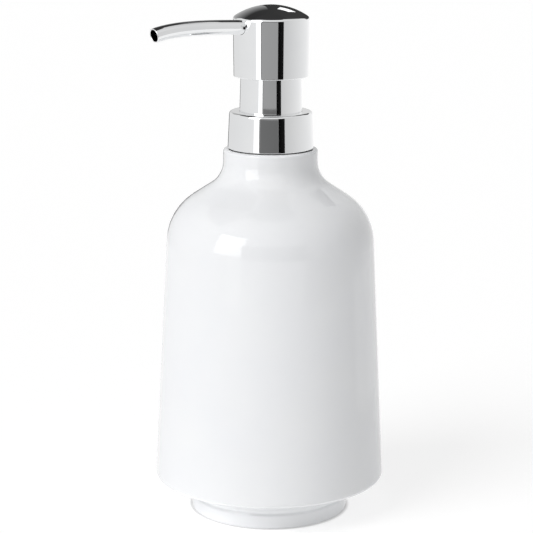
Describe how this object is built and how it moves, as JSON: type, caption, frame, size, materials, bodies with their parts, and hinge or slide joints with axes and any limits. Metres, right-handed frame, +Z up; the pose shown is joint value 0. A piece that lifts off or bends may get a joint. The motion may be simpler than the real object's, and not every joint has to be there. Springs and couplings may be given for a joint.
{
  "type": "soap pump dispenser",
  "caption": "Tapered round bottle on a foot, closed by a screw-on chrome lotion pump with a domed press head and a thin arched spout.",
  "frame": {"origin": "centre of the underside, on the flat of the non-slip pad", "axes": "+Z up along the bottle's axis, the spout points along -Y"},
  "size_m": [0.0832, 0.0918, 0.184],
  "materials": {
    "white_gloss": "gloss",
    "chrome_trim": "polished",
    "white_plastic": "satin",
    "natural_plastic": "satin",
    "spring_steel": "satin",
    "pad_rubber": "matte"
  },
  "bodies": {
    "bottle": {"base_pad": "pad_rubber", "base_plug": "white_gloss", "base_seal": "pad_rubber", "bottle_shell": "white_gloss", "neck_insert": "white_plastic"},
    "gasket": {"neck_gasket": "natural_plastic"},
    "pump": {"pump_housing": "natural_plastic", "chaplet": "white_plastic", "dip_tube": "natural_plastic", "ball_cage": "white_plastic", "return_spring": "spring_steel"},
    "closure": {"screw_cap": "white_plastic", "collar_shell": "chrome_trim", "guide_sleeve": "chrome_trim"},
    "plunger": {"plunger": "white_plastic"},
    "head": {"stem": "white_plastic", "head_core": "white_plastic", "head_shell": "chrome_trim", "spout_tube": "chrome_trim"},
    "piston": {"piston": "natural_plastic"},
    "inlet_ball": {"inlet_ball": "spring_steel"}
  },
  "joints": [
    {"name": "pump_lift", "type": "slide", "parent": "bottle", "child": "gasket", "axis": [0, 0, 1], "range_m": [0, 0.14]},
    {"name": "thread_rise", "type": "slide", "parent": "gasket", "child": "pump", "axis": [0, 0, 1], "range_m": [0, 0.00476]},
    {"name": "cap_turn", "type": "hinge", "parent": "pump", "child": "closure", "pos_m": [0, 0, 0.138], "axis": [0, 0, 1], "range_deg": [0, 540]},
    {"name": "head_press", "type": "slide", "parent": "pump", "child": "plunger", "axis": [0, 0, 1], "range_m": [-0.011, 0], "stiffness_N_per_m": 600, "springref_m": 0.01, "deforming": ["return_spring"]},
    {"name": "head_turn", "type": "hinge", "parent": "plunger", "child": "head", "pos_m": [0, 0, 0.17], "axis": [0, 0, 1], "continuous": true},
    {"name": "piston_slide", "type": "slide", "parent": "pump", "child": "piston", "axis": [0, 0, 1], "range_m": [-0.0099, 0]},
    {"name": "inlet_ball_lift", "type": "slide", "parent": "pump", "child": "inlet_ball", "axis": [0, 0, 1], "range_m": [0, 0.0015]}
  ],
  "couplings": [
    {"joint": "thread_rise", "follows": "cap_turn", "m_per_rad": 0.00050532},
    {"joint": "piston_slide", "follows": "head_press", "ratio": 0.9}
  ]
}
